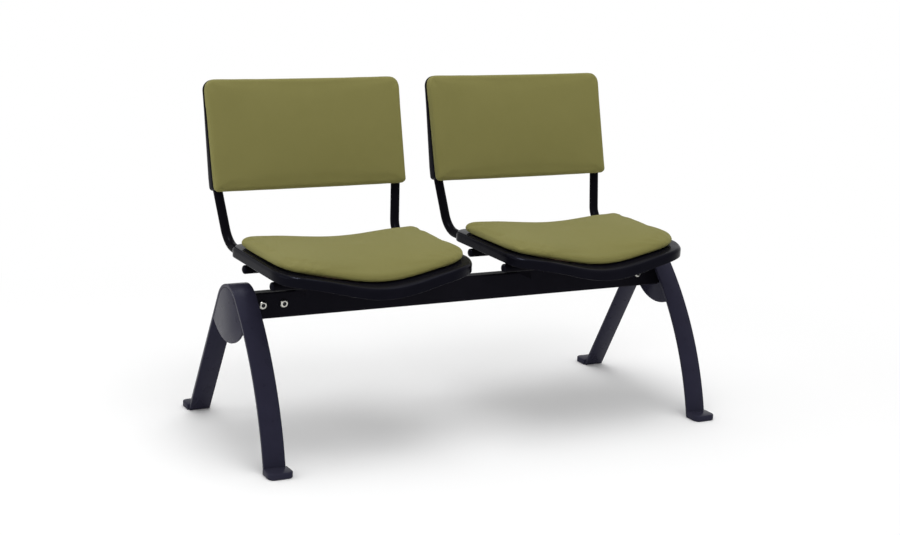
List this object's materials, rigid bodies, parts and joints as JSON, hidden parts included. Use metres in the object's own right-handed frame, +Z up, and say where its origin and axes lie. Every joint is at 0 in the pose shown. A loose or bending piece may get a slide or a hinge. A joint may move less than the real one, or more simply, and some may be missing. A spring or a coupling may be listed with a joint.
{
  "type": "beam bench",
  "caption": "Waiting-room beam bench: upholstered seats and backrests on bent tube frames, carried by a steel beam between inverted-V strip legs.",
  "frame": {"origin": "on the floor, at the middle of the bench's box", "axes": "+X along the beam, to the right of a viewer facing the seats' front from -Y; -Y is the way the sitters face; +Z up"},
  "size_m": [1.164, 0.5786, 0.7713],
  "materials": {
    "black_powder_coat": "satin black powder coat",
    "black_moulded_plastic": "fine-grained black moulding",
    "olive_upholstery": "plain olive-green upholstery",
    "bright_zinc": "bright zinc plating",
    "plywood": "bare plywood"
  },
  "bodies": {
    "root": {"beam": "black_powder_coat", "left_back_board": "plywood", "left_back_left_screw": "bright_zinc", "left_back_pad": "olive_upholstery", "left_back_right_screw": "bright_zinc", "left_back_shell": "black_moulded_plastic", "left_beam_spigot": "black_powder_coat", "left_front_foot": "black_moulded_plastic", "left_inner_beam_bolt": "bright_zinc", "left_leg_plate": "black_powder_coat", "left_leg_strip": "black_powder_coat", "left_outer_beam_bolt": "bright_zinc", "left_rear_foot": "black_moulded_plastic", "left_seat_board": "plywood", "left_seat_front_cross_tube": "black_powder_coat", "left_seat_front_left_plug": "black_moulded_plastic", "left_seat_front_right_plug": "black_moulded_plastic", "left_seat_left_bracket": "black_powder_coat", "left_seat_left_clamp_bolt": "bright_zinc", "left_seat_left_clamp_nut": "bright_zinc", "left_seat_left_side_tube": "black_powder_coat", "left_seat_pad": "olive_upholstery", "left_seat_pan": "black_moulded_plastic", "left_seat_rear_cross_tube": "black_powder_coat", "left_seat_rear_left_plug": "black_moulded_plastic", "left_seat_rear_right_plug": "black_moulded_plastic", "left_seat_right_bracket": "black_powder_coat", "left_seat_right_clamp_bolt": "bright_zinc", "left_seat_right_clamp_nut": "bright_zinc", "left_seat_right_side_tube": "black_powder_coat", "right_back_board": "plywood", "right_back_left_screw": "bright_zinc", "right_back_pad": "olive_upholstery", "right_back_right_screw": "bright_zinc", "right_back_shell": "black_moulded_plastic", "right_beam_spigot": "black_powder_coat", "right_front_foot": "black_moulded_plastic", "right_inner_beam_bolt": "bright_zinc", "right_leg_plate": "black_powder_coat", "right_leg_strip": "black_powder_coat", "right_outer_beam_bolt": "bright_zinc", "right_rear_foot": "black_moulded_plastic", "right_seat_board": "plywood", "right_seat_front_cross_tube": "black_powder_coat", "right_seat_front_left_plug": "black_moulded_plastic", "right_seat_front_right_plug": "black_moulded_plastic", "right_seat_left_bracket": "black_powder_coat", "right_seat_left_clamp_bolt": "bright_zinc", "right_seat_left_clamp_nut": "bright_zinc", "right_seat_left_side_tube": "black_powder_coat", "right_seat_pad": "olive_upholstery", "right_seat_pan": "black_moulded_plastic", "right_seat_rear_cross_tube": "black_powder_coat", "right_seat_rear_left_plug": "black_moulded_plastic", "right_seat_rear_right_plug": "black_moulded_plastic", "right_seat_right_bracket": "black_powder_coat", "right_seat_right_clamp_bolt": "bright_zinc", "right_seat_right_clamp_nut": "bright_zinc", "right_seat_right_side_tube": "black_powder_coat"}
  },
  "joints": []
}
